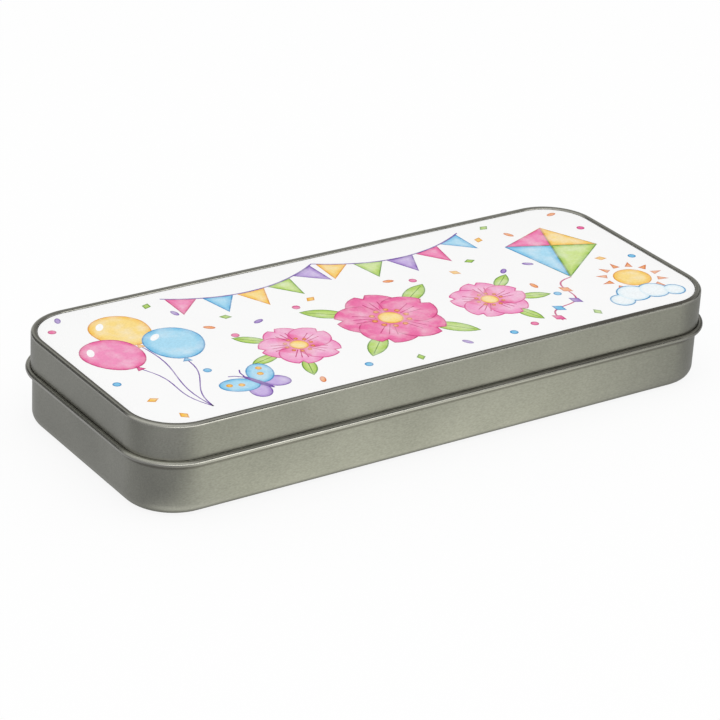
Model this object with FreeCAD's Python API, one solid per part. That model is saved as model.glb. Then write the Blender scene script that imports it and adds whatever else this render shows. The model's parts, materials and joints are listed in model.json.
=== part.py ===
import FreeCAD, Part
import math
import os

# Stationery tin: a drawn tinplate base, a hinged lid with a rolled edge, and a printed panel glued into the lid.
# Millimetres and degrees. The origin is on the table, under the middle of the tin.
# +X runs along the tin, +Y points to the hinged back and +Z points up.

# The closed tin, measured over the lid's walls
lid_length = 200.0
lid_width = 82.0
tin_height = 28.8
corner_radius = 16.0
sheet = 0.3

# The lid's rounded shoulder, its raised rim and the rolled edge below its wall
shoulder_radius = 0.8
rim_flat = 0.65
recess_bend = 0.4
roll_diameter = 1.8
roll_height = 17.1
roll_angle = 300.0

# The printed panel in the lid's recess, and the adhesive sheet under it
panel_thickness = 0.5
panel_drop = 0.45
panel_gap = 0.15
panel_edge_round = 0.1
adhesive_thickness = 0.15
adhesive_margin = 2.5

# The base: bottom edge, raised floor, neck inside the lid and rim rolled inwards
base_gap = 0.2
bottom_radius = 3.5
foot_width = 3.0
floor_raise = 0.6
floor_bend = 1.0
neck_bend = 0.8
swing_gap = 0.15
rim_gap = 0.3
hem_diameter = 1.6
hem_angle = 270.0

# The two hinges: place along the back wall, strap, spot welds, pin and the notch in the lid's edge
hinge_margin = 29.0
strap_width = 14.0
strap_drop = 10.0
strap_bend = 1.0
strap_angle = 270.0
strap_corner = 3.0
weld_spacing = 7.0
weld_diameter = 2.4
weld_depth = 0.08
pin_gap = 0.05
pin_reach = 12.0
pin_end_round = 0.2
knuckle_gap = 0.25
notch_gap = 0.5
notch_corner = 0.6

# Where the flat middle of a pressed floor begins, as a share of the corner radius in from the wall
floor_start_share = 0.8

# How far a cutting shape runs past what it cuts
overrun = 1.0

# The turn of a corner, and of a square bend
quarter_turn = 90.0

# The lid's recess and the height of the base's rim under it
recess_depth = panel_drop + panel_thickness + adhesive_thickness
recess_floor = tin_height - recess_depth
rim_inset = shoulder_radius + rim_flat + recess_bend
rim_top = recess_floor - sheet - rim_gap

# The hinge axis is the middle of the lid's rolled edge at the back, and the hinges stand in from the corners
roll_radius = roll_diameter / 2
roll_bend = roll_radius - sheet / 2
pin_y = lid_width / 2 - sheet + roll_radius
pin_radius = roll_radius - sheet - pin_gap
hinge_x = lid_length / 2 - corner_radius - hinge_margin
hinge_places = {"left": -hinge_x, "right": hinge_x}

# The base fits inside the lid, and its neck steps in so that the lid's front edge swings past the rim
base_inset = sheet + base_gap
base_length = lid_length - 2 * base_inset
base_width = lid_width - 2 * base_inset
base_corner = corner_radius - base_inset
hem_radius = hem_diameter / 2
hem_height = rim_top - hem_radius
neck_start = roll_height - roll_radius
neck_inset = (hem_height - roll_height) ** 2 / (2 * lid_width) + swing_gap - base_gap


def run(length):
    """A straight stretch of sheet."""
    return [(length, 0)]


def bend(radius, turn):
    """A bend of the sheet's middle layer, to the left where the turn is positive."""
    return [(radius, turn)]


def joggle_turn(shift, radius):
    """How far each of a joggle's two bends turns, to the left where the shift is positive."""
    turn = math.degrees(math.acos(max(0, 1 - abs(shift) / (2 * radius))))
    return math.copysign(turn, shift)


def joggle_length(shift, radius):
    """How far a joggle reaches along the sheet's heading."""
    return 2 * radius * math.sin(math.radians(abs(joggle_turn(shift, radius))))


def joggle(shift, radius):
    """Two opposite bends that carry the sheet sideways, with a straight between them if the step is tall."""
    turn = joggle_turn(shift, radius)
    straight = abs(shift) - 2 * radius
    middle = run(straight) if straight > 0 else []
    return bend(radius, turn) + middle + bend(radius, -turn)


def left_of(heading):
    """Unit vector to the left of a heading, in the plane of a section."""
    angle = math.radians(heading)
    return FreeCAD.Vector(-math.sin(angle), 0, math.cos(angle))


def along(heading):
    """Unit vector along a heading, in the plane of a section."""
    angle = math.radians(heading)
    return FreeCAD.Vector(math.cos(angle), 0, math.sin(angle))


def sheet_section(start_x, start_z, heading, moves):
    """The face of cut sheet whose middle layer starts at a point of the XZ plane and follows runs and bends."""
    middle = FreeCAD.Vector(start_x, 0, start_z)
    edges = []
    ends = []
    for size, turn in moves:
        if turn == 0:
            stations = [(middle, heading), (middle + along(heading) * size, heading)]
        else:
            side = math.copysign(size, turn)
            centre = middle + left_of(heading) * side
            headings = [heading, heading + turn / 2, heading + turn]
            stations = [(centre - left_of(angle) * side, angle) for angle in headings]
        for half in (sheet / 2, -sheet / 2):
            points = [point + left_of(angle) * half for point, angle in stations]
            curve = Part.LineSegment(*points) if turn == 0 else Part.Arc(*points)
            edges.append(curve.toShape())
        if not ends:
            ends.append(stations[0])
        middle, heading = stations[-1]
    ends.append((middle, heading))
    for point, angle in ends:
        half = left_of(angle) * (sheet / 2)
        edges.append(Part.LineSegment(point + half, point - half).toShape())
    return Part.Face(Part.Wire(Part.__sortEdges__(edges)))


def around_tin(section, length, width, radius):
    """Carry a section round a rectangle with rounded corners. Its X runs from the axis of a corner."""
    side_x = length / 2 - radius
    side_y = width / 2 - radius
    corners = [(side_x, side_y), (-side_x, side_y), (-side_x, -side_y), (side_x, -side_y)]
    up = FreeCAD.Vector(0, 0, 1)
    centre = FreeCAD.Vector(0, 0, 0)
    pieces = []
    for index, (x, y) in enumerate(corners):
        start = quarter_turn * index
        arc = section.copy().rotate(centre, up, start).revolve(centre, up, quarter_turn)
        side = section.copy().rotate(centre, up, start + quarter_turn)
        next_x, next_y = corners[(index + 1) % len(corners)]
        side = side.extrude(FreeCAD.Vector(next_x - x, next_y - y, 0))
        for piece in (arc, side):
            pieces.append(piece.translate(FreeCAD.Vector(x, y, 0)))
    return pieces


def round_plate(length, width, radius, low, high):
    """A flat plate with rounded corners, between two heights."""
    box = Part.makeBox(length, width, high - low, FreeCAD.Vector(-length / 2, -width / 2, low))
    uprights = [edge for edge in box.Edges if edge.BoundBox.ZLength > (high - low) / 2]
    return box.makeFillet(radius, uprights)


def pressed_shell(length, width, radius, floor_top, start, moves):
    """A pan pressed from one sheet: a flat middle, and round it a section that starts in from the wall."""
    section = sheet_section(radius - start, floor_top - sheet / 2, 0, moves)
    middle = round_plate(length - 2 * start, width - 2 * start, radius - start, floor_top - sheet, floor_top)
    shell = middle.fuse(around_tin(section, length, width, radius))
    return shell.removeSplitter().Solids[0]


def make_base_tray():
    """The drawn base: raised floor, foot, rounded bottom edge, wall, neck and rim rolled inwards."""
    start = base_corner * floor_start_share
    step = joggle_length(floor_raise, floor_bend)
    neck_end = neck_start + joggle_length(neck_inset, neck_bend)
    moves = run(start - bottom_radius - foot_width - step)
    moves += joggle(-floor_raise, floor_bend)
    moves += run(foot_width)
    moves += bend(bottom_radius - sheet / 2, quarter_turn)
    moves += run(neck_start - bottom_radius)
    moves += joggle(neck_inset, neck_bend)
    moves += run(hem_height - neck_end)
    moves += bend(hem_radius - sheet / 2, hem_angle)
    return pressed_shell(base_length, base_width, base_corner, floor_raise + sheet, start, moves)


def make_notch(x):
    """The gap in the lid's rolled edge that a hinge strap turns in."""
    width = strap_width + 2 * knuckle_gap
    low = roll_height - roll_radius - overrun
    high = roll_height + roll_radius + notch_gap
    front = lid_width / 2 - sheet - overrun
    depth = sheet + roll_diameter + 2 * overrun
    box = Part.makeBox(width, depth, high - low, FreeCAD.Vector(x - width / 2, front, low))
    top_edges = [edge for edge in box.Edges
                 if edge.BoundBox.YLength > depth / 2 and edge.BoundBox.ZMin > (low + high) / 2]
    return box.makeFillet(notch_corner, top_edges)


def make_lid_shell():
    """The drawn lid: recessed top, raised rim, shoulder, wall and edge rolled outwards, notched for the hinges."""
    start = corner_radius * floor_start_share
    step_bend = recess_bend - sheet / 2
    step = joggle_length(recess_depth, step_bend)
    moves = run(start - shoulder_radius - rim_flat - step)
    moves += joggle(recess_depth, step_bend)
    moves += run(rim_flat)
    moves += bend(shoulder_radius - sheet / 2, -quarter_turn)
    moves += run(tin_height - shoulder_radius - roll_height)
    moves += bend(roll_bend, roll_angle)
    shell = pressed_shell(lid_length, lid_width, corner_radius, recess_floor, start, moves)
    return shell.cut([make_notch(x) for x in hinge_places.values()]).Solids[0]


def make_printed_panel():
    """The printed aluminium plate, with its top edge eased."""
    inset = rim_inset + panel_gap
    low = recess_floor + adhesive_thickness
    high = low + panel_thickness
    plate = round_plate(lid_length - 2 * inset, lid_width - 2 * inset, corner_radius - inset, low, high)
    top_edges = [edge for edge in plate.Edges if edge.BoundBox.ZMin > (low + high) / 2]
    return plate.makeFillet(panel_edge_round, top_edges)


def make_panel_adhesive():
    """The double-sided sheet between the recess and the panel."""
    inset = rim_inset + panel_gap + adhesive_margin
    high = recess_floor + adhesive_thickness
    return round_plate(lid_length - 2 * inset, lid_width - 2 * inset, corner_radius - inset, recess_floor, high)


def make_hinge_strap(x):
    """A strap welded to the back of the base, joggled out and looped round the pin in line with the lid's roll."""
    low = roll_height - strap_drop
    leaf = strap_drop - joggle_length(base_gap, strap_bend)
    moves = run(leaf) + joggle(-base_gap, strap_bend) + bend(roll_bend, -strap_angle)
    section = sheet_section(base_width / 2 + sheet / 2, low, quarter_turn, moves)
    section.rotate(FreeCAD.Vector(0, 0, 0), FreeCAD.Vector(0, 0, 1), quarter_turn)
    section.translate(FreeCAD.Vector(x - strap_width / 2, 0, 0))
    strap = section.extrude(FreeCAD.Vector(strap_width, 0, 0))
    corners = [edge for edge in strap.Edges
               if edge.BoundBox.ZMax < low + sheet and edge.BoundBox.XLength < sheet]
    strap = strap.makeFillet(strap_corner, corners)
    ball_radius = ((weld_diameter / 2) ** 2 + weld_depth ** 2) / (2 * weld_depth)
    weld_y = base_width / 2 + sheet - weld_depth + ball_radius
    for weld_x in (x - weld_spacing / 2, x + weld_spacing / 2):
        place = FreeCAD.Vector(weld_x, weld_y, low + leaf / 2)
        strap = strap.cut(Part.makeSphere(ball_radius, place))
    return strap.Solids[0]


def make_hinge_pin(x):
    """A straight wire pin that lies in the lid's roll on both sides of a strap's loop."""
    length = strap_width + 2 * (knuckle_gap + pin_reach)
    start = FreeCAD.Vector(x - length / 2, pin_y, roll_height)
    pin = Part.makeCylinder(pin_radius, length, start, FreeCAD.Vector(1, 0, 0))
    rings = [edge for edge in pin.Edges if edge.BoundBox.XLength < pin_radius]
    return pin.makeFillet(pin_end_round, rings)


parts = {
    "base_tray": make_base_tray(),
    "lid_shell": make_lid_shell(),
    "printed_panel": make_printed_panel(),
    "panel_adhesive": make_panel_adhesive(),
}
for side, place in hinge_places.items():
    parts["hinge_strap_" + side] = make_hinge_strap(place)
    parts["hinge_pin_" + side] = make_hinge_pin(place)

os.makedirs("parts", exist_ok=True)
for node, shape in parts.items():
    shape.exportStep(f"parts/{node}.step")
    print(node, len(shape.Solids), shape.isValid(), round(shape.Volume, 2))
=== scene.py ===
import json
import math

import bpy
from mathutils import Matrix, Vector

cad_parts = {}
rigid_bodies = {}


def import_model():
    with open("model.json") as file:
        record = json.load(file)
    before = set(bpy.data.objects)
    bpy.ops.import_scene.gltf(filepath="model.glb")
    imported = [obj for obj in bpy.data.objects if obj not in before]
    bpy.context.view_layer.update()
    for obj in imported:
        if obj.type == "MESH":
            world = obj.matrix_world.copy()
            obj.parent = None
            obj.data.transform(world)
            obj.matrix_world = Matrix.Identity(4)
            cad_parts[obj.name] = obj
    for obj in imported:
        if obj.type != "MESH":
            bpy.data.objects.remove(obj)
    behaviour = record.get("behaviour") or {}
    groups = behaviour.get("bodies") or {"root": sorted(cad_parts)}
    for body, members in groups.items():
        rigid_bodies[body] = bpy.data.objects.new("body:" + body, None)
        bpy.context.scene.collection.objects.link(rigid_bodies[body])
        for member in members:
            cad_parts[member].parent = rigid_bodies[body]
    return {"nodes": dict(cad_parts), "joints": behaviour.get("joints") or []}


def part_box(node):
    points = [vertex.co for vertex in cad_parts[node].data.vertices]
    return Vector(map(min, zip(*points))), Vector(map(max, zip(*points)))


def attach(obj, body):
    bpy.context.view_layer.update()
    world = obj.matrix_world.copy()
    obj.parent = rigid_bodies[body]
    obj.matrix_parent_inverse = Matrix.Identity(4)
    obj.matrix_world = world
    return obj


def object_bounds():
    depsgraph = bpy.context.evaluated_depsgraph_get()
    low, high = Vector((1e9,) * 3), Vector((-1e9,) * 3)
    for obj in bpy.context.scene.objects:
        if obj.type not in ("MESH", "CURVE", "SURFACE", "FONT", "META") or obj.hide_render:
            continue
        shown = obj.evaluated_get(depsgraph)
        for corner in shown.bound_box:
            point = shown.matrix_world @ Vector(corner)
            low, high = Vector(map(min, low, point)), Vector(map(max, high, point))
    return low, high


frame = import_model()
cad_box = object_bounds()


# Base tray
# The base is drawn from one sheet of tinplate: raised floor, foot, wall, neck and a rim rolled inwards.
# The sheet is left bare, with the satin grain of the mill's rollers and brighter metal where its foot rubs.
mm = 0.001
sheet = 0.3 * mm
plate_dark = (0.335, 0.336, 0.29)
plate_light = (0.39, 0.39, 0.338)
plate_pit = (0.16, 0.155, 0.14)
plate_rubbed = (0.48, 0.475, 0.43)
# Colour of the painted shade in folds, creases and at the rim's inner edge
plate_painted_shade = (0.14, 0.13, 0.11)
# Inner faces are painted lighter by this gain, against the shade inside the tin
plate_inside_painted_light = (1.5, 1.46, 1.62)
cloud_size = 22 * mm
grain_size = 0.35 * mm
grain_depth = 0.004 * mm
streak_size = 0.8 * mm
pit_size = 1.6 * mm
wear_size = 5 * mm
smooth_roughness = 0.30
streaked_roughness = 0.38
rub_polish = 0.17
grain_strength = 0.25
rubbed_grain_strength = 0.03


def noise(material, size, stretch=(1, 1, 1), detail=2):
    """Noise that is fixed to the piece, with grains of about this size."""
    tree = material.node_tree
    place = tree.nodes.new("ShaderNodeTexCoord")
    mapping = tree.nodes.new("ShaderNodeMapping")
    mapping.inputs["Scale"].default_value = [1 / (size * share) for share in stretch]
    texture = tree.nodes.new("ShaderNodeTexNoise")
    texture.inputs["Scale"].default_value = 1
    texture.inputs["Detail"].default_value = detail
    tree.links.new(place.outputs["Object"], mapping.inputs["Vector"])
    tree.links.new(mapping.outputs["Vector"], texture.inputs["Vector"])
    return texture.outputs["Fac"]


def stretch_range(material, value, low, high, new_low, new_high):
    """A value whose range from low to high becomes another range, and is held at both ends."""
    ramp = material.node_tree.nodes.new("ShaderNodeMapRange")
    ends = {"From Min": low, "From Max": high, "To Min": new_low, "To Max": new_high}
    for socket, end in ends.items():
        ramp.inputs[socket].default_value = end
    material.node_tree.links.new(value, ramp.inputs["Value"])
    return ramp.outputs["Result"]


def usual_range(material, grains, low, high):
    """Noise whose middle range, where nearly all of it lies, runs from low to high."""
    return stretch_range(material, grains, 0.3, 0.7, low, high)


def reckon(material, operation, first, second):
    """Arithmetic on a value and a second value or plain number."""
    step = material.node_tree.nodes.new("ShaderNodeMath")
    step.operation = operation
    material.node_tree.links.new(first, step.inputs[0])
    if isinstance(second, (int, float)):
        step.inputs[1].default_value = second
    else:
        material.node_tree.links.new(second, step.inputs[1])
    return step.outputs["Value"]


def product(material, first, *others):
    """Several values multiplied together."""
    for other in others:
        first = reckon(material, "MULTIPLY", first, other)
    return first


def largest(material, first, *others):
    """The largest of several values."""
    for other in others:
        first = reckon(material, "MAXIMUM", first, other)
    return first


def mix_colours(material, share, first, second, way="MIX"):
    """One colour that turns into another as the share goes from 0 to 1.
    A colour is a socket or three numbers."""
    tree = material.node_tree
    mix = tree.nodes.new("ShaderNodeMix")
    mix.data_type = "RGBA"
    mix.blend_type = way
    factor, start, end = [mix.inputs[index] for index in (0, 6, 7)]
    for socket, value in ((factor, share), (start, first), (end, second)):
        if isinstance(value, bpy.types.NodeSocket):
            tree.links.new(value, socket)
        elif isinstance(value, tuple):
            socket.default_value = (*value, 1)
        else:
            socket.default_value = value
    return mix.outputs[2]


def place_along(material, axis):
    """A point's place along X, Y or Z."""
    tree = material.node_tree
    place = tree.nodes.new("ShaderNodeTexCoord")
    parts = tree.nodes.new("ShaderNodeSeparateXYZ")
    tree.links.new(place.outputs["Object"], parts.inputs["Vector"])
    return parts.outputs[axis]


def height_band(material, height, half_width, level_share=0):
    """1 at a height of the piece, falling to 0 above and below it.
    It stays at 1 for the level share of its half width."""
    offset = reckon(material, "SUBTRACT", place_along(material, "Z"), height)
    distance = reckon(material, "ABSOLUTE", offset, 0)
    return stretch_range(material, distance, level_share * half_width, half_width, 1, 0)


def bump(material, height, depth, strength):
    """The surface rises and falls with a value, by up to this depth."""
    tree = material.node_tree
    relief = tree.nodes.new("ShaderNodeBump")
    relief.inputs["Distance"].default_value = depth
    if isinstance(strength, float):
        relief.inputs["Strength"].default_value = strength
    else:
        tree.links.new(strength, relief.inputs["Strength"])
    tree.links.new(height, relief.inputs["Height"])
    return relief.outputs["Normal"]


def past_corner(material, corner):
    """How far a point lies outside an upright block whose corner is given.
    A rounded outline about the block has one such distance all round."""
    squares = []
    for axis, edge in zip("XY", corner):
        place = reckon(material, "ABSOLUTE", place_along(material, axis), 0)
        past = reckon(material, "MAXIMUM", reckon(material, "SUBTRACT", place, edge), 0)
        squares.append(product(material, past, past))
    return reckon(material, "SQRT", reckon(material, "ADD", *squares), 0)


tin_middle = (cad_box[0] + cad_box[1]) / 2
panel_well = cad_box[1].z - 1 * mm


def facing_in(material):
    """1 on faces below the panel that look towards the middle of the shut tin, and 0 on its outer faces."""
    tree = material.node_tree
    place = tree.nodes.new("ShaderNodeTexCoord")
    from_middle = tree.nodes.new("ShaderNodeVectorMath")
    from_middle.operation = "SUBTRACT"
    from_middle.inputs[1].default_value = tin_middle
    tree.links.new(place.outputs["Object"], from_middle.inputs[0])
    away = tree.nodes.new("ShaderNodeVectorMath")
    away.operation = "DOT_PRODUCT"
    tree.links.new(from_middle.outputs["Vector"], away.inputs[0])
    tree.links.new(place.outputs["Normal"], away.inputs[1])
    inward = stretch_range(material, away.outputs["Value"], -1 * mm, 0, 1, 0)
    below = stretch_range(material, place_along(material, "Z"), panel_well, panel_well + 0.1 * mm, 1, 0)
    return product(material, inward, below)


def tinplate(name, rubbed_bands, painted_shade=None):
    """Bare satin tinplate: cloudy warm grey, fine rolled grain, a few dark specks, and painted shade in
    folds.
    It is rubbed bright in bands, each given by its height and half its width.
    Inside the tin its colour is painted lighter, against the shade there."""
    material = bpy.data.materials.new(name)
    material.use_nodes = True
    shader = material.node_tree.nodes["Principled BSDF"]
    shader.inputs["Metallic"].default_value = 1
    clouds = noise(material, cloud_size, detail=4)
    grain = noise(material, grain_size, stretch=(2.5, 1, 1), detail=3)
    streaks = noise(material, streak_size, stretch=(24, 1, 1))
    pits = noise(material, pit_size, detail=3)
    wear = noise(material, wear_size, detail=4)
    bands = [height_band(material, height, half_width, level_share=0.5)
             for height, half_width in rubbed_bands]
    band = largest(material, *bands)
    rubbed = product(material, band, stretch_range(material, wear, 0.35, 0.65, 0.7, 1))

    colour = mix_colours(material, usual_range(material, clouds, 0, 1), plate_dark, plate_light)
    colour = mix_colours(material, 1.0, colour, usual_range(material, grain, 0.87, 1.08), "MULTIPLY")
    colour = mix_colours(material, stretch_range(material, pits, 0.76, 0.82, 0, 0.5), colour, plate_pit)
    painted_lighter_inside = mix_colours(material, 1.0, colour, plate_inside_painted_light, "MULTIPLY")
    colour = mix_colours(material, facing_in(material), colour, painted_lighter_inside)
    colour = mix_colours(material, rubbed, colour, plate_rubbed)
    if painted_shade:
        colour = mix_colours(material, painted_shade(material), colour, plate_painted_shade)
    material.node_tree.links.new(colour, shader.inputs["Base Color"])

    roughness = usual_range(material, streaks, smooth_roughness, streaked_roughness)
    roughness = reckon(material, "SUBTRACT", roughness, product(material, rubbed, rub_polish))
    material.node_tree.links.new(roughness, shader.inputs["Roughness"])
    relief = stretch_range(material, band, 0, 0.6, grain_strength, rubbed_grain_strength)
    normal = bump(material, grain, grain_depth, relief)
    material.node_tree.links.new(normal, shader.inputs["Normal"])
    return material


def dress(node, material):
    """Give a CAD node its finish."""
    mesh = frame["nodes"][node].data
    mesh.materials.clear()
    mesh.materials.append(material)


base_low, base_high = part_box("base_tray")
base_corner_radius = 15.5 * mm
corner_post = (base_high.x - base_corner_radius, base_high.y - base_corner_radius)
foot_rub_width = 1.2 * mm
hinge_height = frame["joints"][0]["pos_m"][2]
# A band of painted shade on the base wall just under the lid's rolled edge
ledge_drop = 1.7 * mm
ledge_width = 0.75 * mm
ledge_shade_share = 0.6


def outer_face(material, corner_radius):
    """1 on a wall's outer face, whose corners have this radius, and 0 on its inner face."""
    return stretch_range(material, past_corner(material, corner_post),
                         corner_radius - 0.6 * sheet, corner_radius - 0.4 * sheet, 0, 1)


def base_painted_shade(material):
    """Painted shade on the wall just under the lid's rolled edge, and 0 elsewhere."""
    ledge = height_band(material, hinge_height - ledge_drop, ledge_width, level_share=0.5)
    return product(material, ledge, outer_face(material, base_corner_radius), ledge_shade_share)


dress("base_tray", tinplate("satin_tinplate_base", [(base_low.z, foot_rub_width)], base_painted_shade))


# Hinge straps
# Two strips of the same tinplate are spot-welded to the back of the base and looped round the pins.
# The loops are where the metal rubs as the lid turns.
loop_rub_width = 1 * mm
strap_finish = tinplate("satin_tinplate_straps", [(hinge_height, loop_rub_width)])
for side in ("left", "right"):
    dress("hinge_strap_" + side, strap_finish)


# Hinge pins
# Short lengths of drawn steel wire lie in the lid's rolled edge and pass through the loops.
# Drawing leaves fine lines along the wire.
wire_dark = (0.42, 0.42, 0.41)
wire_light = (0.6, 0.6, 0.58)
wire_line_size = 0.12 * mm


def drawn_wire():
    """Bright steel wire with lines along its length."""
    material = bpy.data.materials.new("drawn_steel_wire")
    material.use_nodes = True
    shader = material.node_tree.nodes["Principled BSDF"]
    shader.inputs["Metallic"].default_value = 1
    lines = noise(material, wire_line_size, stretch=(80, 1, 1))
    colour = mix_colours(material, lines, wire_dark, wire_light)
    material.node_tree.links.new(colour, shader.inputs["Base Color"])
    roughness = usual_range(material, lines, 0.22, 0.34)
    material.node_tree.links.new(roughness, shader.inputs["Roughness"])
    return material


pin_finish = drawn_wire()
for side in ("left", "right"):
    dress("hinge_pin_" + side, pin_finish)


# Lid shell
# The lid is drawn from one sheet of tinplate: recessed top, raised rim, shoulder, wall and rolled outer edge.
# The crests of the rolled edge and the shoulder are rubbed brighter by hands and shelves.
# Painted shade darkens the fold under the rolled edge, the metal above that edge, and the rim where it turns
# down to the panel.
lid_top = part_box("lid_shell")[1].z
lid_corner_radius = 16 * mm
edge_rub_width = 0.8 * mm
shoulder_drop = 0.45 * mm
shoulder_rub_width = 0.55 * mm
# Bands of painted shade on the lid: in the fold, above the rolled edge and at the rim
fold_drop = 0.7 * mm
fold_width = 0.45 * mm
fold_shade_share = 0.8
edge_rise = 0.6 * mm
edge_width = 0.9 * mm
edge_shade_share = 0.45
rim_shaded = 14.85 * mm
rim_unshaded = 15.15 * mm
rim_shade_front = 0.85
rim_shade_back = 0.2
front_shade_reach = 0.8 * mm


def fold_painted_shade(material):
    """Painted shade in the fold under the rolled edge."""
    fold = height_band(material, hinge_height - fold_drop, fold_width, level_share=0.4)
    return product(material, fold, outer_face(material, lid_corner_radius), fold_shade_share)


def edge_painted_shade(material):
    """Painted shade above the rolled edge, in the right half of the front."""
    edge = height_band(material, hinge_height + edge_rise, edge_width, level_share=0.3)
    to_right = stretch_range(material, place_along(material, "X"), -10 * mm, 50 * mm, 0, edge_shade_share)
    to_front = stretch_range(material, place_along(material, "Y"), -25 * mm, 0, 1, 0)
    return product(material, edge, outer_face(material, lid_corner_radius), to_right, to_front)


def rim_painted_shade(material):
    """Painted shade at the rim's inner edge, less towards the back.
    In the right half of the front it reaches out over the shoulder."""
    along = place_along(material, "X")
    across = place_along(material, "Y")
    front_shaded = product(material, stretch_range(material, along, -15 * mm, 55 * mm, 0, 1),
                      stretch_range(material, along, 88 * mm, 96 * mm, 1, 0),
                      stretch_range(material, across, -38 * mm, -34 * mm, 1, 0))
    reach = product(material, front_shaded, front_shade_reach)
    rim_place = reckon(material, "SUBTRACT", past_corner(material, corner_post), reach)
    rim = stretch_range(material, rim_place, rim_shaded, rim_unshaded, 1, 0)
    outside = stretch_range(material, place_along(material, "Z"),
                            lid_top - 0.9 * sheet, lid_top - 0.7 * sheet, 0, 1)
    to_back = reckon(material, "ADD", product(material, along, 0.4), across)
    shade_by_side = stretch_range(material, to_back, -20 * mm, 20 * mm, rim_shade_front, rim_shade_back)
    return product(material, rim, outside, largest(material, shade_by_side, front_shaded))


def lid_painted_shade(material):
    """All the lid's painted shade, and 0 where there is none."""
    return largest(material, fold_painted_shade(material), edge_painted_shade(material), rim_painted_shade(material))


lid_rubbed = [(hinge_height, edge_rub_width), (lid_top - shoulder_drop, shoulder_rub_width)]
dress("lid_shell", tinplate("satin_tinplate_lid", lid_rubbed, lid_painted_shade))


# Panel adhesive
# A double-sided sheet of white foam tape, with fine open cells.
# It holds the panel in the lid's recess, out of sight.
foam_dark = (0.66, 0.65, 0.6)
foam_light = (0.8, 0.79, 0.75)
foam_roughness = 0.85
cell_size = 0.5 * mm
cell_depth = 0.05 * mm


def foam_tape():
    """Matt white foam with fine cells."""
    material = bpy.data.materials.new("white_foam_tape")
    material.use_nodes = True
    shader = material.node_tree.nodes["Principled BSDF"]
    cells = noise(material, cell_size, detail=3)
    colour = mix_colours(material, cells, foam_dark, foam_light)
    material.node_tree.links.new(colour, shader.inputs["Base Color"])
    shader.inputs["Roughness"].default_value = foam_roughness
    normal = bump(material, cells, cell_depth, 0.5)
    material.node_tree.links.new(normal, shader.inputs["Normal"])
    return material


dress("panel_adhesive", foam_tape())


# Printed panel
# A thin aluminium plate with a white gloss coat on its upper face, which takes the print.
# The coat is smooth but not dead flat, and the cut edge and underside are bare metal.
panel_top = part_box("printed_panel")[1].z
coat_depth = 0.12 * mm
coat_roughness = 0.16
coat_dull = (0.925, 0.925, 0.925)
coat_bright = (0.95, 0.95, 0.947)
coat_cloud_size = 18 * mm
bare_aluminium = (0.72, 0.72, 0.73)
ripple_size = 3 * mm
ripple_depth = 0.004 * mm


def coated_panel():
    """White gloss coat above, bare aluminium on the edge and below."""
    material = bpy.data.materials.new("white_gloss_coat")
    material.use_nodes = True
    shader = material.node_tree.nodes["Principled BSDF"]
    near_top = height_band(material, panel_top, 2 * coat_depth)
    coated = stretch_range(material, near_top, 0.45, 0.55, 0, 1)
    white = mix_colours(material, noise(material, coat_cloud_size, detail=3), coat_dull, coat_bright)
    colour = mix_colours(material, coated, bare_aluminium, white)
    material.node_tree.links.new(colour, shader.inputs["Base Color"])
    bare = stretch_range(material, coated, 0, 1, 1, 0)
    material.node_tree.links.new(bare, shader.inputs["Metallic"])
    shader.inputs["Roughness"].default_value = coat_roughness
    normal = bump(material, noise(material, ripple_size), ripple_depth, 0.3)
    material.node_tree.links.new(normal, shader.inputs["Normal"])
    return material


dress("printed_panel", coated_panel())


# Printed bunting
# The print is dye in the panel's coat, laid down as flat films of colour with darker outlines.
# This piece is a string of little flags, hung in two swags along the top of the panel.
film_layer = 0.01 * mm
film_thickness = 0.14 * mm
line_width = 0.34


def ink_colour(code):
    """A colour from its six hexadecimal digits, as linear light."""
    shares = [int(code[start:start + 2], 16) / 255 for start in (0, 2, 4)]
    return tuple(((share + 0.055) / 1.055) ** 2.4 if share > 0.04 else share / 12.92 for share in shares)


# Each ink's outline, body and palest wash
inks = {
    "pink": ("D9468F", "F18FC2", "F8BCDC"),
    "rose": ("C62F76", "EC5B9D", "F38DBC"),
    "sky": ("2C8CC4", "6FC0E8", "A8DCF4"),
    "lime": ("6C992B", "A9CE4F", "CFE58C"),
    "sun": ("E39A22", "FAC546", "FDDD84"),
    "orange": ("D66F2A", "F59F55", "F9C18D"),
    "violet": ("7046A4", "A07CCB", "C7AFE4"),
    "mist": ("DDF1FA", "E4F4FB", "F3FAFD"),
    "white": ("FFFFFF", "FFFFFF", "FFFFFF"),
}
inks = {name: [ink_colour(code) for code in codes] for name, codes in inks.items()}
blot_size = 4.5 * mm
blot_colour = (0.95, 0.95, 0.95)
pool_size = 0.6 * mm


def printed_ink():
    """Dye in the gloss coat: the film's own colours, blotted paler in clouds and darker in grains.
    So a wash looks when it has dried."""
    material = bpy.data.materials.new("dye_in_gloss_coat")
    material.use_nodes = True
    shader = material.node_tree.nodes["Principled BSDF"]
    film = material.node_tree.nodes.new("ShaderNodeAttribute")
    film.attribute_name = "ink"
    pale = stretch_range(material, noise(material, blot_size, detail=5), 0.42, 0.68, 0, 0.32)
    colour = mix_colours(material, pale, film.outputs["Color"], blot_colour)
    pooled = usual_range(material, noise(material, pool_size, detail=4), 0.9, 1.02)
    colour = mix_colours(material, 1.0, colour, pooled, "MULTIPLY")
    material.node_tree.links.new(colour, shader.inputs["Base Color"])
    shader.inputs["Roughness"].default_value = coat_roughness
    return material


print_finish = printed_ink()


def on_panel(x, y):
    """A point of the panel's upper face, given in millimetres from its middle."""
    return Vector((x * mm, y * mm, panel_top))


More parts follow.
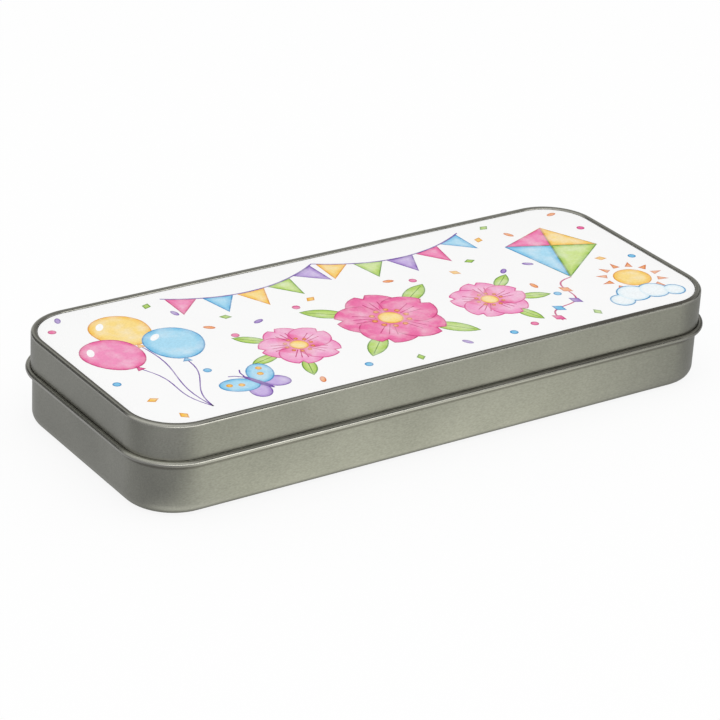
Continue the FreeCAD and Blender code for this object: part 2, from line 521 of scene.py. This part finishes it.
def start_film(sides):
    """A new flat face of radius 1 with room for its ink, left selected in edit mode."""
    bpy.ops.object.select_all(action="DESELECT")
    bpy.ops.mesh.primitive_circle_add(vertices=sides, radius=1, fill_type="NGON")
    film = bpy.context.object
    film.data.attributes.active = film.data.attributes.new("ink", "FLOAT_COLOR", "POINT")
    bpy.ops.object.mode_set(mode="EDIT")
    bpy.ops.mesh.select_mode(type="VERT")
    bpy.ops.mesh.select_all(action="SELECT")
    return film


def select_points(film, wanted):
    """In edit mode, select the points whose place passes a test."""
    bpy.ops.mesh.select_all(action="DESELECT")
    bpy.ops.object.mode_set(mode="OBJECT")
    for point in film.data.vertices:
        point.select = wanted(point.co)
    bpy.ops.object.mode_set(mode="EDIT")
    bpy.ops.mesh.select_mode(type="VERT")


def paint(colour):
    """Ink the selected points."""
    bpy.ops.mesh.attribute_set(value_color=(*colour, 1))


def wash(ink, soft_edge):
    """Ink the selected face: a dark outline, a body colour and, past a soft edge, a paler middle."""
    outline, body, middle = inks[ink]
    bpy.ops.mesh.select_mode(type="FACE")
    paint(outline)
    bpy.ops.mesh.inset(thickness=line_width * mm)
    paint(outline)
    bpy.ops.mesh.inset(thickness=line_width / 3 * mm)
    paint(body)
    if soft_edge > 0:
        bpy.ops.mesh.inset(thickness=soft_edge * mm)
        paint(middle)


def fade_middle(colour):
    """Give the selected face a middle point of another colour, towards which its own colour fades."""
    bpy.ops.mesh.poke()
    bpy.ops.mesh.select_mode(type="VERT")
    bpy.ops.mesh.select_less()
    paint(colour)


def outline_disc(width, height, sides=32, belly=1):
    """A disc, oval or polygon with no ink yet. Its lower half is the longer one where belly is over 1."""
    film = start_film(sides)
    bpy.ops.transform.resize(value=(width / 2 * mm, height / 2 * mm, 1), center_override=(0, 0, 0))
    if belly != 1:
        select_points(film, lambda place: place.y < 0)
        bpy.ops.transform.resize(value=(1, belly, 1), center_override=(0, 0, 0))
        bpy.ops.mesh.select_all(action="SELECT")
    return film


def ink_disc(ink, width, height, soft_edge=0, sides=32, belly=1):
    """A disc, oval or polygon of ink."""
    film = outline_disc(width, height, sides, belly)
    wash(ink, soft_edge)
    return film


def ink_strip(colour, points, across):
    """A line of ink along points: one edge as long as the line is wide, extruded from point to point."""
    film = start_film(3)
    bpy.ops.mesh.merge(type="CENTER")
    across = across * mm
    bpy.ops.transform.translate(value=points[0] - across / 2)
    bpy.ops.mesh.extrude_region_move(TRANSFORM_OT_translate={"value": across})
    bpy.ops.mesh.select_all(action="SELECT")
    for start, end in zip(points, points[1:]):
        bpy.ops.mesh.extrude_region_move(TRANSFORM_OT_translate={"value": end - start})
    bpy.ops.mesh.select_all(action="SELECT")
    paint(colour)
    return film


def lay(film, places):
    """Leave edit mode and lay copies of a film, upper side up.
    Each has a point, a turn in degrees and a layer."""
    bpy.ops.object.mode_set(mode="OBJECT")
    if film.data.polygons[0].normal.z < 0:
        bpy.ops.object.mode_set(mode="EDIT")
        bpy.ops.mesh.select_all(action="SELECT")
        bpy.ops.mesh.flip_normals()
        bpy.ops.object.mode_set(mode="OBJECT")
    copies = []
    for point, turn, layer in places:
        bpy.ops.object.select_all(action="DESELECT")
        film.select_set(True)
        bpy.context.view_layer.objects.active = film
        bpy.ops.object.duplicate()
        copy = bpy.context.object
        copy.matrix_world = (Matrix.Translation(point + Vector((0, 0, layer * film_layer)))
                             @ Matrix.Rotation(math.radians(turn), 4, "Z"))
        bpy.ops.object.transform_apply(location=True, rotation=True, scale=True)
        copies.append(copy)
    bpy.data.objects.remove(film)
    return copies


def print_piece(name, films):
    """Join films into one printed piece, closed and as thin as the dyed coat, that moves with the lid."""
    bpy.ops.object.select_all(action="DESELECT")
    for film in films:
        film.select_set(True)
    piece = films[0]
    bpy.context.view_layer.objects.active = piece
    bpy.ops.object.join()
    piece.name = name
    piece.data.name = name
    thickness = piece.modifiers.new("film", "SOLIDIFY")
    thickness.thickness = film_thickness
    thickness.offset = -1
    bpy.ops.object.modifier_apply(modifier=thickness.name)
    piece.data.materials.clear()
    piece.data.materials.append(print_finish)
    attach(piece, "lid")


def beside(point, turn, x, y):
    """A point that lies x and y millimetres from another, in a motif that is turned."""
    return point + Matrix.Rotation(math.radians(turn), 3, "Z") @ Vector((x * mm, y * mm, 0))


as_drawn = Vector((0, 0, 0))
upright = Vector((0, 0, 1))
swag_ends = [(-54, 34.5), (0, 35.5), (54, 34.5)]
swag_sag = 8
flags_per_swag = 5
flag_width = 9.6
flag_height = 11
flag_edge = 1.5
flag_inks = ["rose", "sky", "sun", "lime", "violet"]
cord_width = 0.55
cord_steps = 20
triangle_width_share = math.sin(math.radians(60))
triangle_height_share = 0.75


def swag_point(left, right, share):
    """A point of a cord that hangs between two ends, as a share of the way along."""
    x = left[0] + (right[0] - left[0]) * share
    y = left[1] + (right[1] - left[1]) * share - swag_sag * 4 * share * (1 - share)
    return on_panel(x, y)


def ink_triangle(ink, width, height, soft_edge=0):
    """A triangle of ink that points up, with its middle a third of the way up."""
    return ink_disc(ink, width / triangle_width_share, height / triangle_height_share, soft_edge, sides=3)


films = []
flags = {ink: [] for ink in flag_inks}
for swag, (left, right) in enumerate(zip(swag_ends, swag_ends[1:])):
    cord = [swag_point(left, right, step / cord_steps) for step in range(cord_steps + 1)]
    films += lay(ink_strip(inks["violet"][0], cord, Vector((0, cord_width, 0))), [(as_drawn, 0, 2)])
    for flag in range(flags_per_swag):
        share = (flag + 0.5) / flags_per_swag
        slope = swag_point(left, right, share + 0.05) - swag_point(left, right, share - 0.05)
        lean = math.degrees(math.atan2(slope.y, slope.x))
        ink = flag_inks[(flag + 2 * swag) % len(flag_inks)]
        middle = beside(swag_point(left, right, share), lean, 0, -flag_height / 3)
        flags[ink].append((middle, lean + 180, 1))
for ink, places in flags.items():
    films += lay(ink_triangle(ink, flag_width, flag_height, flag_edge), places)
print_piece("print_bunting", films)


# Printed blossoms
# Three pink blossoms fill the middle of the panel, each of five notched petals round a yellow eye.
# Each petal darkens towards the eye, and veined leaves stand out between the blossoms.
# A blossom is given by its place, radius, turn and ink, and its leaves by their angles.
blossoms = [(-34, -11, 13.5, 10, "pink"), (34, -11, 13.5, -10, "pink"), (0, -8, 18.5, 0, "rose")]
blossom_leaves = [(140, 195, 250), (-70, -15, 40), (35, 145, 225, 315)]
petals = 5
petal_width_share = 0.98
petal_length_share = 0.92
petal_notch_share = 0.12
leaf_width_share = 0.42
leaf_length_share = 0.85
leaf_start_share = 0.62
leaf_corner_share = 1.45
leaf_rounding = 80
midrib_shares = (0.05, 0.88)
vein_shares = (0.24, 0.62)
vein_spread = (-13, 0, 13)
vein_width = 0.28
eye_width_share = 0.42
eye_edge_share = 0.06
pollen_grains = 10
pollen_ring_share = 0.3
pollen_width_share = 0.1


def petal(ink, radius):
    """A notched petal whose foot lies at the film's middle, darker towards that foot."""
    length = petal_length_share * radius
    film = outline_disc(petal_width_share * radius, length)
    tip = length / 2 * mm
    select_points(film, lambda place: place.y > 0.999 * tip)
    bpy.ops.transform.translate(value=(0, -petal_notch_share * radius * mm, 0))
    bpy.ops.mesh.select_all(action="SELECT")
    bpy.ops.transform.translate(value=(0, tip, 0))
    wash(ink, soft_edge=0)
    fade_middle(inks[ink][2])
    select_points(film, lambda place: place.y < 0.75 * tip)
    paint(inks["rose"][1])
    return film


def leaf(width, length):
    """A pointed lime leaf whose foot lies at the film's middle.
    It is a diamond with its two side corners rounded."""
    film = outline_disc(leaf_corner_share * width, length, sides=4)
    select_points(film, lambda place: abs(place.y) < 0.1 * length * mm)
    bpy.ops.mesh.bevel(affect="VERTICES", offset_type="PERCENT", offset_pct=leaf_rounding, segments=8)
    bpy.ops.mesh.select_all(action="SELECT")
    bpy.ops.transform.translate(value=(0, length / 2 * mm, 0))
    wash("lime", soft_edge=0)
    fade_middle(inks["lime"][2])
    return film


def fine_line(ink, length, shares):
    """A straight thin line up the film's middle, between two shares of a length."""
    ends = [Vector((0, share * length * mm, 0)) for share in shares]
    return ink_strip(inks[ink][0], ends, Vector((vein_width, 0, 0)))


films = []
for (x, y, radius, turn, ink), leaf_angles in zip(blossoms, blossom_leaves):
    point = on_panel(x, y)
    leaf_length = leaf_length_share * radius
    leaf_feet = [beside(point, angle, leaf_start_share * radius, 0) for angle in leaf_angles]
    leaf_turns = [angle - 90 for angle in leaf_angles]
    leaf_places = list(zip(leaf_feet, leaf_turns))
    films += lay(leaf(leaf_width_share * radius, leaf_length), [(*place, 1) for place in leaf_places])
    films += lay(fine_line("lime", leaf_length, midrib_shares), [(*place, 2) for place in leaf_places])
    petal_turns = [turn + 360 / petals * number for number in range(petals)]
    films += lay(petal(ink, radius), [(point, angle, 3 + number) for number, angle in enumerate(petal_turns)])
    vein_places = [(point, angle + spread, 8) for angle in petal_turns for spread in vein_spread]
    films += lay(fine_line("rose", radius, vein_shares), vein_places)
    eye_width = eye_width_share * radius
    films += lay(ink_disc("sun", eye_width, eye_width, eye_edge_share * radius), [(point, 0, 9)])
    grain_width = pollen_width_share * radius
    grain_angles = [360 / pollen_grains * number for number in range(pollen_grains)]
    grain_places = [(beside(point, angle, pollen_ring_share * radius, 0), 0, 9) for angle in grain_angles]
    films += lay(ink_disc("orange", grain_width, grain_width, sides=12), grain_places)
print_piece("print_blossoms", films)


# Printed balloons
# Three balloons float at the panel's left, each with a knot and a white glint.
# Their strings sway a little and meet below.
# A balloon is given by its place, lean and ink.
balloons = [(-75, 22, 0, "sun"), (-85, 9, 12, "rose"), (-65, 8, -12, "sky")]
balloon_width = 18
balloon_height = 18
balloon_belly = 1.3
balloon_edge = 2.2
glint_width = 2.2
glint_height = 4.8
glint_lean = -35
glint_left_share = 0.24
glint_up_share = 0.2
knot_size = 2.8
strings_meet = on_panel(-76, -33)
string_width = 0.42
string_sway = 1.3
string_steps = 14

films = []
for order, (x, y, lean, ink) in enumerate(balloons):
    point = on_panel(x, y)
    layer = 2 + 2 * order
    balloon = ink_disc(ink, balloon_width, balloon_height, balloon_edge, belly=balloon_belly)
    films += lay(balloon, [(point, lean, layer)])
    glint_place = beside(point, lean, -glint_left_share * balloon_width, glint_up_share * balloon_height)
    films += lay(ink_disc("white", glint_width, glint_height), [(glint_place, lean + glint_lean, layer + 1)])
    knot = beside(point, lean, 0, -balloon_belly * balloon_height / 2 - knot_size / 3)
    films += lay(ink_triangle(ink, knot_size, knot_size), [(knot, lean, layer + 1)])
    string = []
    for step in range(string_steps + 1):
        share = step / string_steps
        sway = string_sway * math.sin(math.tau * share) * mm
        string.append(knot.lerp(strings_meet, share) + Vector((sway, 0, 0)))
    films += lay(ink_strip(inks["violet"][0], string, Vector((string_width, 0, 0))), [(as_drawn, 0, 1)])
print_piece("print_balloons", films)


# Printed kite
# A kite of four colours flies at the panel's right, with its two spars drawn between them.
# Its tail swings below it and carries small diamonds.
kite_place = on_panel(75, 13)
kite_lean = -22
kite_width = 30
kite_rise = 14
kite_belly = 1.7
kite_edge = 1.8
kite_quarters = [(-1, 1, "rose"), (1, 1, "sun"), (-1, -1, "sky"), (1, -1, "lime")]
kite_foot = beside(kite_place, kite_lean, 0, -kite_rise * kite_belly)
tail_end = on_panel(45, -33)
tail_aside = (tail_end - kite_foot).normalized().cross(upright)
tail_width = 0.6
tail_sway = 2.8
tail_swings = 1.5
tail_steps = 30
tail_diamonds = [(0.3, "orange"), (0.52, "violet"), (0.74, "sky"), (0.95, "rose")]
diamond_width = 3.4
diamond_height = 5
diamond_lean = 30

kite = outline_disc(kite_width, 2 * kite_rise, sides=4, belly=kite_belly)
bpy.ops.mesh.poke()
select_points(kite, lambda place: abs(place.x) < 0.1 * mm and abs(place.y) < 0.9 * kite_rise * mm)
bpy.ops.transform.resize(value=(0, 0, 0), center_override=(0, 0, 0))
for side, half, ink in kite_quarters:
    select_points(kite, lambda place: place.x * side > -0.01 * mm and place.y * half > -0.01 * mm)
    wash(ink, kite_edge)
films = lay(kite, [(kite_place, kite_lean, 3)])


def tail_point(share):
    """A point of the tail, as a share of the way from the kite's foot to the tail's end."""
    sway = tail_sway * math.sin(tail_swings * math.tau * share) * mm
    return kite_foot.lerp(tail_end, share) + sway * tail_aside


tail = [tail_point(step / tail_steps) for step in range(tail_steps + 1)]
films += lay(ink_strip(inks["rose"][0], tail, tail_width * tail_aside), [(as_drawn, 0, 1)])
for share, ink in tail_diamonds:
    diamond = ink_disc(ink, diamond_width, diamond_height, sides=4)
    films += lay(diamond, [(tail_point(share), diamond_lean, 2)])
print_piece("print_kite", films)


# Printed butterfly
# A butterfly with blue and violet wings sits between the balloons and the blossoms.
# Each wing is an oval that leans out from the body, and its feelers are thin bent lines.
butterfly_place = on_panel(-57, -26)
butterfly_lean = 24
hind_wing_size = (6.8, 8.6)
hind_wing_place = (3.9, -3.4)
hind_wing_lean = 38
hind_wing_edge = 1.2
fore_wing_size = (8.2, 12)
fore_wing_place = (5, 3)
fore_wing_lean = -48
fore_wing_edge = 1.6
wing_spots = [(7.2, 5), (4.6, 2.6)]
spot_width = 2
feeler_bends = [(0, 4.5), (1.4, 7.4), (2.8, 8.6)]
feeler_width = 0.45
body_width = 1.8
body_length = 11


def on_butterfly(side, x, y):
    """A point of the butterfly, on its left for a side of -1 and on its right for 1."""
    return beside(butterfly_place, butterfly_lean, side * x, y)


films = []
for side in (-1, 1):
    hind_wing = ink_disc("violet", *hind_wing_size, hind_wing_edge)
    hind_wing_turn = butterfly_lean + side * hind_wing_lean
    films += lay(hind_wing, [(on_butterfly(side, *hind_wing_place), hind_wing_turn, 1)])
    fore_wing = ink_disc("sky", *fore_wing_size, fore_wing_edge)
    fore_wing_turn = butterfly_lean + side * fore_wing_lean
    films += lay(fore_wing, [(on_butterfly(side, *fore_wing_place), fore_wing_turn, 2)])
    spot_places = [(on_butterfly(side, *spot), 0, 3) for spot in wing_spots]
    films += lay(ink_disc("sun", spot_width, spot_width, sides=16), spot_places)
    feeler = [on_butterfly(side, *bend) for bend in feeler_bends]
    feeler_aside = (feeler[-1] - feeler[0]).normalized().cross(upright)
    films += lay(ink_strip(inks["violet"][0], feeler, feeler_width * feeler_aside), [(as_drawn, 0, 3)])
body = outline_disc(body_width, body_length)
paint(inks["violet"][0])
films += lay(body, [(butterfly_place, butterfly_lean, 4)])
print_piece("print_butterfly", films)


# Printed sun and cloud
# A sun with twelve rays rises over a small cloud in the lower right corner.
# The cloud's puffs are outlined first and filled after, so that only its outer line shows.
# A puff is given by its place and radius.
sun_place = on_panel(83, -18)
sun_width = 12
sun_edge = 2
sun_rays = 12
ray_distance = 9
ray_width = 2.6
ray_height = 3.6
cloud_puffs = [(70, -30, 4), (76, -27.5, 5.4), (83, -28.5, 5), (89, -31, 3.6)]
puff_edge = 1

films = lay(ink_disc("sun", sun_width, sun_width, sun_edge), [(sun_place, 0, 1)])
ray_angles = [360 / sun_rays * number for number in range(sun_rays)]
ray_places = [(beside(sun_place, angle, 0, ray_distance), angle, 1) for angle in ray_angles]
films += lay(ink_triangle("orange", ray_width, ray_height), ray_places)
for number, (x, y, radius) in enumerate(cloud_puffs):
    films += lay(ink_disc("sky", 2 * radius, 2 * radius), [(on_panel(x, y), 0, 2 + number)])
    inner_width = 2 * radius - 3 * line_width
    inner_layer = 2 + len(cloud_puffs) + number
    films += lay(ink_disc("mist", inner_width, inner_width, puff_edge), [(on_panel(x, y), 0, inner_layer)])
print_piece("print_sun_and_cloud", films)


# Printed confetti
# Dots, diamonds and sprinkles in every ink fill the gaps of the design.
# A shape is given by its width, height and number of sides.
confetti_places = [
    (-93, 29), (-93, -9), (-89, -22), (-60, 32), (-55, 24), (-51, 11), (-47, 3), (-66, -13), (-86, -34),
    (-43, 15), (-36, 8), (-40, -33), (-21, 11), (-23, -31), (-14, 14), (-7, -34), (11, -32), (14, 14),
    (21, 11), (27, -33), (36, 10), (45, 15), (50, 4), (52, -9), (36, -31), (55, -17), (57, 27),
    (58, -33), (60, 5), (90, 33), (92, 20), (93, -5), (83, -2), (64, 34), (-88, 35), (68, 26),
]
confetti_inks = ["rose", "sky", "sun", "lime", "violet", "orange"]
confetti_shapes = [(2.6, 2.6, 16), (2.8, 4, 4), (1.9, 3.7, 16)]
confetti_turn = 47

films = []
for number, ink in enumerate(confetti_inks):
    for shape, (width, height, sides) in enumerate(confetti_shapes):
        places = []
        for index, (x, y) in enumerate(confetti_places):
            if index % len(confetti_inks) == number and (index // 2) % len(confetti_shapes) == shape:
                places.append((on_panel(x, y), confetti_turn * index, 1))
        if places:
            films += lay(ink_disc(ink, width, height, sides=sides), places)
print_piece("print_confetti", films)


# Floor
# A wide pale floor, which the tin stands on.
# It glows nearly white where it is seen, so that the tin's shadow on it is faint, and is dull to other light.
floor_size = 8
floor_colour = (0.9, 0.9, 0.9, 1)
floor_white_share = 0.88

bpy.ops.object.select_all(action="DESELECT")
bpy.ops.mesh.primitive_plane_add(size=floor_size)
floor = bpy.context.object
floor.name = "floor"


def seen_directly(tree):
    """1 for rays from the camera, a mirror or glass, and 0 for light that falls on dull surfaces."""
    path = tree.nodes.new("ShaderNodeLightPath")
    total = path.outputs["Is Camera Ray"]
    for kind in ("Is Glossy Ray", "Is Transmission Ray"):
        step = tree.nodes.new("ShaderNodeMath")
        step.operation = "MAXIMUM"
        tree.links.new(total, step.inputs[0])
        tree.links.new(path.outputs[kind], step.inputs[1])
        total = step.outputs["Value"]
    return total


floor_paint = bpy.data.materials.new("pale_floor")
floor_paint.use_nodes = True
tree = floor_paint.node_tree
tree.nodes.clear()
dull = tree.nodes.new("ShaderNodeBsdfDiffuse")
dull.inputs["Color"].default_value = floor_colour
white = tree.nodes.new("ShaderNodeEmission")
both = tree.nodes.new("ShaderNodeMixShader")
surface = tree.nodes.new("ShaderNodeOutputMaterial")
tree.links.new(product(floor_paint, seen_directly(tree), floor_white_share), both.inputs["Fac"])
tree.links.new(dull.outputs["BSDF"], both.inputs[1])
tree.links.new(white.outputs["Emission"], both.inputs[2])
tree.links.new(both.outputs["Shader"], surface.inputs["Surface"])
floor.data.materials.append(floor_paint)


# White room and softbox
# The room is white all round, and a little dimmer as a light than as a background.
# One wide square softbox hangs over the tin. Mirrors don't see it.
room_light = 0.79
softbox_place = Vector((0, -0.15, 1.2))
softbox_size = 1.2
softbox_power = 5.4

world = bpy.data.worlds.new("white_room")
bpy.context.scene.world = world
world.use_nodes = True
tree = world.node_tree
sky = tree.nodes["Background"]
sky.inputs["Color"].default_value = (1, 1, 1, 1)
level = tree.nodes.new("ShaderNodeMapRange")
level.inputs["To Min"].default_value = room_light
level.inputs["To Max"].default_value = 1
tree.links.new(seen_directly(tree), level.inputs["Value"])
tree.links.new(level.outputs["Result"], sky.inputs["Strength"])

lamp = bpy.data.lights.new("top_softbox", "AREA")
lamp.shape = "SQUARE"
lamp.size = softbox_size
lamp.energy = softbox_power
softbox = bpy.data.objects.new("top_softbox", lamp)
bpy.context.scene.collection.objects.link(softbox)
downwards = (-softbox_place).to_track_quat("-Z", "Y")
softbox.matrix_world = Matrix.Translation(softbox_place) @ downwards.to_matrix().to_4x4()
softbox.visible_glossy = False


# Grey tent
# A round tent of glowing grey cloth stands about the table and gives the bare metal its tones as a painted
# reflection. Only mirrors see it.
# A low glowing window on the camera's side paints highlights as bright lines along the edges, and dark flags
# paint the lines beside them.
tent_radius = 2.5
window_light = (2.8, 2.8, 2.7)
cloth_grey = (0.62, 0.62, 0.61)
overhead_grey = (0.9, 0.9, 0.89)
far_side_grey = (0.48, 0.48, 0.47)
near_side_grey = (0.4, 0.4, 0.4)
right_flag_grey = (0.15, 0.15, 0.15)
dark_flag_grey = (0.12, 0.12, 0.12)

bpy.ops.object.select_all(action="DESELECT")
bpy.ops.mesh.primitive_uv_sphere_add(segments=48, ring_count=24, radius=tent_radius)
tent = bpy.context.object
tent.name = "grey_tent"
tent_cloth = bpy.data.materials.new("grey_tent")
tent_cloth.use_nodes = True


def tent_patch(*ramps):
    """1 in a patch of the tent, fading to 0 round it.
    Each ramp has an axis and the places, as shares of the tent's radius, where it is 0 and where it is 1."""
    sides = []
    for axis, none_share, full_share in ramps:
        place = place_along(tent_cloth, axis)
        ends = (none_share * tent_radius, full_share * tent_radius)
        sides.append(stretch_range(tent_cloth, place, *ends, 0, 1))
    return product(tent_cloth, *sides)


def show_to_mirrors(card, material, colour):
    """Let a card glow with its own colour, seen by mirrors alone and casting no shadow."""
    tree = material.node_tree
    tree.nodes.remove(tree.nodes["Principled BSDF"])
    glow = tree.nodes.new("ShaderNodeEmission")
    tree.links.new(colour, glow.inputs["Color"])
    tree.links.new(glow.outputs["Emission"], tree.nodes["Material Output"].inputs["Surface"])
    card.data.materials.append(material)
    card.visible_camera = False
    card.visible_diffuse = False
    card.visible_shadow = False


high_window = tent_patch(("X", 0.22, 0.38), ("X", 0.58, 0.47), ("Y", -0.1, -0.35), ("Z", 0.4, 0.28))
low_window = tent_patch(("X", -0.9, -0.5), ("X", 0.38, 0.22), ("Y", -0.1, -0.35), ("Z", 0.24, 0.14))
window = reckon(tent_cloth, "ADD", high_window, low_window)
front_flag = tent_patch(("X", 0.25, 0.4), ("X", 0.68, 0.6), ("Y", -0.1, -0.3), ("Z", 0.87, 0.75))
left_flag = tent_patch(("X", 0.1, -0.15), ("Y", 0.55, 0.65), ("Z", 0.87, 0.72))
right_flag = tent_patch(("X", 0.66, 0.76), ("Y", -0.35, -0.15), ("Y", 0.64, 0.5), ("Z", 0.56, 0.42))
far_side = tent_patch(("X", -0.1, 0.3), ("Y", 0.1, 0.4))
near_side = tent_patch(("X", -0.8, -0.6), ("X", 0.4, 0.25), ("Y", -0.2, -0.4), ("Z", 0.54, 0.42))
overhead = tent_patch(("X", 0.25, 0), ("Z", 0.4, 0.6))
cloth = mix_colours(tent_cloth, overhead, cloth_grey, overhead_grey)
cloth = mix_colours(tent_cloth, far_side, cloth, far_side_grey)
cloth = mix_colours(tent_cloth, near_side, cloth, near_side_grey)
cloth = mix_colours(tent_cloth, right_flag, cloth, right_flag_grey)
cloth = mix_colours(tent_cloth, largest(tent_cloth, front_flag, left_flag), cloth, dark_flag_grey)
show_to_mirrors(tent, tent_cloth, mix_colours(tent_cloth, window, cloth, window_light))


# Table card
# A grey card lies on the floor about the tin, so that the walls mirror no white floor. Only mirrors see it.
# Its glow is a painted reflection: painted light before the tin's front, painted shade off its near corner,
# and a painted shadow under the tin.
card_size = 1.4
card_back = 0.1
card_lift = 0.2 * mm
card_left_grey = (0.5, 0.5, 0.52)
card_right_grey = (0.4, 0.4, 0.4)
card_behind_grey = (0.8, 0.8, 0.8)
card_before_grey = (0.95, 0.95, 0.95)
card_painted_foot_light = (1, 1, 1)
card_painted_light = (1.14, 1.15, 1.05)
card_painted_shadow = (0.31, 0.31, 0.3)
lit_slant = 1.5
valley_distance = 160 * mm

bpy.ops.object.select_all(action="DESELECT")
bpy.ops.mesh.primitive_plane_add(size=card_size, location=(0, card_back, card_lift))
table_card = bpy.context.object
table_card.name = "table_flag"
bpy.ops.object.transform_apply(location=True)
card_paint = bpy.data.materials.new("table_flag")
card_paint.use_nodes = True


def card_ramp(place, start, end, low=0, high=1):
    """A value that goes from low to high between two places on the card, given in millimetres."""
    return stretch_range(card_paint, place, start * mm, end * mm, low, high)


along = place_along(card_paint, "X")
across = place_along(card_paint, "Y")
off_tin = past_corner(card_paint, corner_post)
slanted = reckon(card_paint, "ADD", along, product(card_paint, across, lit_slant))
off_corner = reckon(card_paint, "ADD", reckon(card_paint, "ADD", along, across), valley_distance)
off_valley = reckon(card_paint, "ABSOLUTE", off_corner, 0)

# Painted shade, painted light and a painted shadow on the card, which mirrors show on the tin
painted_shade_patch = product(card_paint, card_ramp(off_valley, 0, 36, 0.56, 1), card_ramp(along, -138, -106, 1.18, 1),
                card_ramp(along, -200, -165, 0.6, 1))
behind = product(card_paint, card_ramp(across, 42, 60), card_ramp(along, -90, -65))
before = product(card_paint, card_ramp(across, -155, -165), card_ramp(along, 160, 80))
painted_foot_patch = product(card_paint, card_ramp(off_tin, 24, 16.5), card_ramp(across, -33, -40),
                  card_ramp(along, -60, -75))
painted_light_patch = product(card_paint, card_ramp(along, -102, -64), card_ramp(slanted, 33, -37),
              card_ramp(across, -95, -45, 0.42))
painted_shadow_patch = card_ramp(off_tin, 16, 14.2)

grey = mix_colours(card_paint, card_ramp(along, -120, 220), card_left_grey, card_right_grey)
grey = mix_colours(card_paint, 1.0, grey, painted_shade_patch, "MULTIPLY")
grey = mix_colours(card_paint, behind, grey, card_behind_grey)
grey = mix_colours(card_paint, before, grey, card_before_grey)
grey = mix_colours(card_paint, painted_foot_patch, grey, card_painted_foot_light)
grey = mix_colours(card_paint, painted_light_patch, grey, card_painted_light)
show_to_mirrors(table_card, card_paint, mix_colours(card_paint, painted_shadow_patch, grey, card_painted_shadow))


# Camera
# A long lens at the height and side of the photograph, turned a little about its own axis.
# Its place was fitted to the tin's edges in a square picture.
view_azimuth = math.radians(-35.01)
view_elevation = math.radians(25.84)
view_roll = math.radians(3.26)
view_distance = 900.8 * mm
view_right = 3.17 * mm
view_down = 9.91 * mm
image_pixels = 720
focal_pixels = 2989.6
sensor_width = 36

lens = bpy.data.cameras.new("camera")
lens.sensor_width = sensor_width
lens.lens = focal_pixels * sensor_width / image_pixels
camera = bpy.data.objects.new("camera", lens)
bpy.context.scene.collection.objects.link(camera)
camera.matrix_world = (Matrix.Rotation(view_azimuth, 4, "Z")
                       @ Matrix.Rotation(math.pi / 2 - view_elevation, 4, "X")
                       @ Matrix.Rotation(view_roll, 4, "Z")
                       @ Matrix.Translation((-view_right, view_down, view_distance)))
bpy.context.scene.camera = camera
bpy.context.scene.view_settings.view_transform = "Standard"
